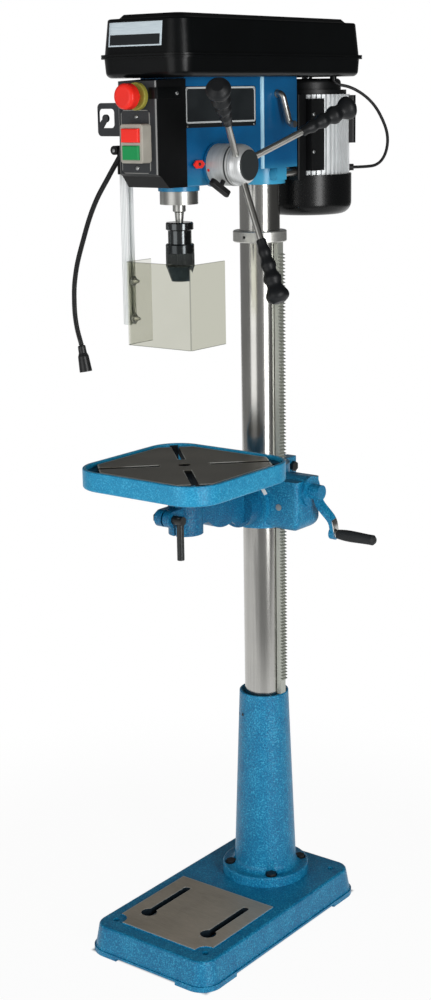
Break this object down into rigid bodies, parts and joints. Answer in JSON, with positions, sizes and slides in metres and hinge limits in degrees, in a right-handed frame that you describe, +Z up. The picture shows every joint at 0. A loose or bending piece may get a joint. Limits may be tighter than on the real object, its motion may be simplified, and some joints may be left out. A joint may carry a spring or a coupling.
{
  "type": "pillar drill",
  "caption": "Floor-standing pillar drill: base and column, cranked tilting table, head with feed handles, keyed chuck and guard, rear motor and belt cover.",
  "frame": {"origin": "centre of the base's floor bolt pattern, on the floor", "axes": "+Z up, +X to the operator's right, -Y towards the operator"},
  "size_m": [0.4236, 0.6131, 1.676],
  "materials": {
    "blue_hammer": "blue hammer-finish paint",
    "blue_gloss": "gloss blue paint",
    "black_paint": "satin black paint",
    "grey_paint": "dark grey paint",
    "black_oxide": "blackened steel",
    "bright_steel": "ground steel",
    "rack_steel": "dark milled steel",
    "spring_steel": "blued strip",
    "steel_sheet": "plated sheet",
    "black_plastic": "moulded black",
    "grey_plastic": "moulded warm grey",
    "yellow_plastic": "moulded dull yellow",
    "red_plastic": "moulded red",
    "green_plastic": "moulded green",
    "lamp_black": "black lamp parts",
    "belt_rubber": "matt",
    "cable_black": "matt sheath",
    "rail_alloy": "drawn bright channel",
    "clear_plastic": "clear sheet",
    "cast_alloy": "cast, machined",
    "motor_alloy": "bright ribbed casting",
    "motor_black": "black paint",
    "table_iron": "machined top"
  },
  "bodies": {
    "stand": {"base": "blue_hammer", "pillar": "blue_hammer", "pillar_bolts": "black_oxide", "column": "bright_steel", "rack_collar": "rack_steel", "head_casting": "blue_gloss", "cover_pan": "black_paint", "switch_box": "black_plastic", "switch_frame": "grey_plastic", "estop_collar": "yellow_plastic", "hook_plate": "grey_paint", "guard_bracket": "black_plastic", "gooseneck": "lamp_black", "lamp_head": "lamp_black", "spring_housing": "steel_sheet", "return_spring": "spring_steel", "pulley_bearings": "bright_steel", "drive_belts": "belt_rubber", "motor_cable": "cable_black"},
    "lid": {"cover_lid": "black_paint"},
    "start": {"start_button": "green_plastic"},
    "stop": {"stop_button": "red_plastic"},
    "emergency_stop": {"estop_button": "red_plastic"},
    "guard_arm": {"guard_rail": "rail_alloy"},
    "guard": {"guard_shield": "clear_plastic"},
    "quill": {"quill": "bright_steel", "quill_bearings": "bright_steel"},
    "spindle": {"spindle": "bright_steel", "chuck_body": "black_oxide"},
    "sleeve": {"chuck_sleeve": "black_oxide"},
    "jaw_1": {"chuck_jaw_1": "bright_steel"},
    "jaw_2": {"chuck_jaw_2": "bright_steel"},
    "jaw_3": {"chuck_jaw_3": "bright_steel"},
    "feed": {"feed_hub": "cast_alloy", "feed_rods": "bright_steel", "feed_grips": "black_plastic"},
    "depth_ring": {"depth_ring": "cast_alloy"},
    "depth_lock": {"depth_lock": "black_plastic"},
    "drive_pulley": {"spindle_pulley": "cast_alloy"},
    "idler_arm": {"idler_arm": "black_oxide"},
    "idler": {"idler_pulley": "cast_alloy"},
    "rotor": {"motor_pulley": "cast_alloy"},
    "motor": {"motor_body": "motor_alloy", "motor_end_bell": "motor_black", "fan_cover": "motor_black", "motor_boxes": "motor_black", "motor_plate": "motor_black", "slide_bars": "bright_steel"},
    "tension_lever": {"tension_lever": "bright_steel"},
    "rack": {"rack": "rack_steel"},
    "bracket": {"table_bracket": "blue_hammer", "tilt_bolt": "black_oxide"},
    "crank": {"worm_shaft": "bright_steel", "crank_arm": "blue_hammer"},
    "crank_grip": {"crank_grip": "black_plastic"},
    "worm_wheel": {"worm_wheel": "bright_steel"},
    "column_clamp": {"column_clamp": "black_oxide"},
    "arm": {"table_arm": "blue_hammer"},
    "table_clamp": {"table_clamp": "black_oxide"},
    "table": {"table": "table_iron"}
  },
  "joints": [
    {"name": "lid_hinge", "type": "hinge", "parent": "stand", "child": "lid", "pos_m": [-0.102, 0.07, 1.6095], "axis": [0, -1, 0], "range_deg": [0, 100]},
    {"name": "start_press", "type": "slide", "parent": "stand", "child": "start", "axis": [0, 1, 0], "range_m": [0, 0.004], "stiffness_N_per_m": 400, "springref_m": -0.002},
    {"name": "stop_press", "type": "slide", "parent": "stand", "child": "stop", "axis": [0, 1, 0], "range_m": [0, 0.004], "stiffness_N_per_m": 400, "springref_m": -0.002},
    {"name": "emergency_press", "type": "slide", "parent": "stand", "child": "emergency_stop", "axis": [0, 1, 0], "range_m": [0, 0.006], "stiffness_N_per_m": 500, "springref_m": -0.003},
    {"name": "guard_swing", "type": "hinge", "parent": "stand", "child": "guard_arm", "pos_m": [-0.08, -0.143, 1.43], "axis": [0, 0, -1], "range_deg": [0, 90]},
    {"name": "guard_height", "type": "slide", "parent": "guard_arm", "child": "guard", "axis": [0, 0, 1], "range_m": [0, 0.1]},
    {"name": "feed_turn", "type": "hinge", "parent": "stand", "child": "feed", "pos_m": [0.1, -0.062, 1.434], "axis": [1, 0, 0], "range_deg": [0, 352.59], "stiffness_Nm_per_rad": 0.5, "springref_deg": -114.59, "deforming": ["return_spring"]},
    {"name": "quill_feed", "type": "slide", "parent": "stand", "child": "quill", "axis": [0, 0, -1], "range_m": [-0.0002, 0.0802]},
    {"name": "spindle_spin", "type": "hinge", "parent": "quill", "child": "spindle", "pos_m": [0, -0.102, 1.4], "axis": [0, 0, 1], "continuous": true},
    {"name": "chuck_turn", "type": "hinge", "parent": "spindle", "child": "sleeve", "pos_m": [0, -0.102, 1.28], "axis": [0, 0, 1], "range_deg": [0, 3168]},
    {"name": "jaw_1_slide", "type": "slide", "parent": "spindle", "child": "jaw_1", "axis": [0, 0.2419, 0.9703], "range_m": [-0.0001, 0.023]},
    {"name": "jaw_2_slide", "type": "slide", "parent": "spindle", "child": "jaw_2", "axis": [-0.2095, -0.121, 0.9703], "range_m": [-0.0001, 0.023]},
    {"name": "jaw_3_slide", "type": "slide", "parent": "spindle", "child": "jaw_3", "axis": [0.2095, -0.121, 0.9703], "range_m": [-0.0001, 0.023]},
    {"name": "depth_ring_turn", "type": "hinge", "parent": "feed", "child": "depth_ring", "pos_m": [0.075, -0.062, 1.434], "axis": [1, 0, 0], "range_deg": [-170, 170]},
    {"name": "depth_lock_turn", "type": "hinge", "parent": "depth_ring", "child": "depth_lock", "pos_m": [0.081, -0.062, 1.434], "axis": [0, -0.6691, -0.7431], "range_deg": [-90, 90]},
    {"name": "pulley_spin", "type": "hinge", "parent": "stand", "child": "drive_pulley", "pos_m": [0, -0.102, 1.6], "axis": [0, 0, 1], "continuous": true},
    {"name": "idler_swing", "type": "hinge", "parent": "stand", "child": "idler_arm", "pos_m": [0.038, 0.055, 1.58], "axis": [0, 0, 1], "range_deg": [-4, 4], "deforming": ["drive_belts"]},
    {"name": "idler_spin", "type": "hinge", "parent": "idler_arm", "child": "idler", "pos_m": [0, 0.089, 1.62], "axis": [0, 0, 1], "continuous": true},
    {"name": "motor_slide", "type": "slide", "parent": "stand", "child": "motor", "axis": [0, 1, 0], "range_m": [-0.005, 0.008], "deforming": ["drive_belts", "motor_cable"]},
    {"name": "motor_spin", "type": "hinge", "parent": "motor", "child": "rotor", "pos_m": [0, 0.281, 1.6], "axis": [0, 0, 1], "continuous": true},
    {"name": "tension_turn", "type": "hinge", "parent": "stand", "child": "tension_lever", "pos_m": [0.05, 0.0985, 1.548], "axis": [1, 0, 0], "range_deg": [-19, 30.2]},
    {"name": "table_swing", "type": "hinge", "parent": "stand", "child": "rack", "pos_m": [0, 0.129, 0.8], "axis": [0, 0, 1], "range_deg": [-180, 180]},
    {"name": "table_lift", "type": "slide", "parent": "rack", "child": "bracket", "axis": [0, 0, 1], "range_m": [-0.325, 0.1]},
    {"name": "crank_turn", "type": "hinge", "parent": "bracket", "child": "crank", "pos_m": [0.12, 0.129, 0.8405], "axis": [1, 0, 0], "range_deg": [-18641.13, 5749.58]},
    {"name": "crank_grip_spin", "type": "hinge", "parent": "crank", "child": "crank_grip", "pos_m": [0.2, 0.14872, 0.76142], "axis": [1, 0, 0], "continuous": true},
    {"name": "worm_wheel_turn", "type": "hinge", "parent": "bracket", "child": "worm_wheel", "pos_m": [0.066, 0.129, 0.812], "axis": [0, 1, 0], "range_deg": [-318.81, 1035.01]},
    {"name": "column_clamp_turn", "type": "hinge", "parent": "bracket", "child": "column_clamp", "pos_m": [-0.03, 0.197, 0.864], "axis": [1, 0, 0], "range_deg": [-10, 75]},
    {"name": "table_tilt", "type": "hinge", "parent": "bracket", "child": "arm", "pos_m": [0, 0.06, 0.812], "axis": [0, 1, 0], "range_deg": [-45, 45]},
    {"name": "table_clamp_turn", "type": "hinge", "parent": "arm", "child": "table_clamp", "pos_m": [0.03, -0.155, 0.834], "axis": [1, 0, 0], "range_deg": [-75, 15]},
    {"name": "table_turn", "type": "hinge", "parent": "arm", "child": "table", "pos_m": [0, -0.102, 0.85], "axis": [0, 0, 1], "continuous": true}
  ],
  "couplings": [
    {"joint": "quill_feed", "follows": "feed_turn", "m_per_rad": 0.013},
    {"joint": "spindle_spin", "follows": "pulley_spin", "ratio": 1},
    {"joint": "idler_spin", "follows": "pulley_spin", "ratio": 1.2308},
    {"joint": "motor_spin", "follows": "pulley_spin", "ratio": 2.2782},
    {"joint": "jaw_1_slide", "follows": "chuck_turn", "m_per_rad": 0.00041416},
    {"joint": "jaw_2_slide", "follows": "chuck_turn", "m_per_rad": 0.00041416},
    {"joint": "jaw_3_slide", "follows": "chuck_turn", "m_per_rad": 0.00041416},
    {"joint": "tension_turn", "follows": "motor_slide", "rad_per_m": 65.45},
    {"joint": "crank_turn", "follows": "table_lift", "rad_per_m": 1000},
    {"joint": "worm_wheel_turn", "follows": "table_lift", "rad_per_m": -55.556}
  ]
}
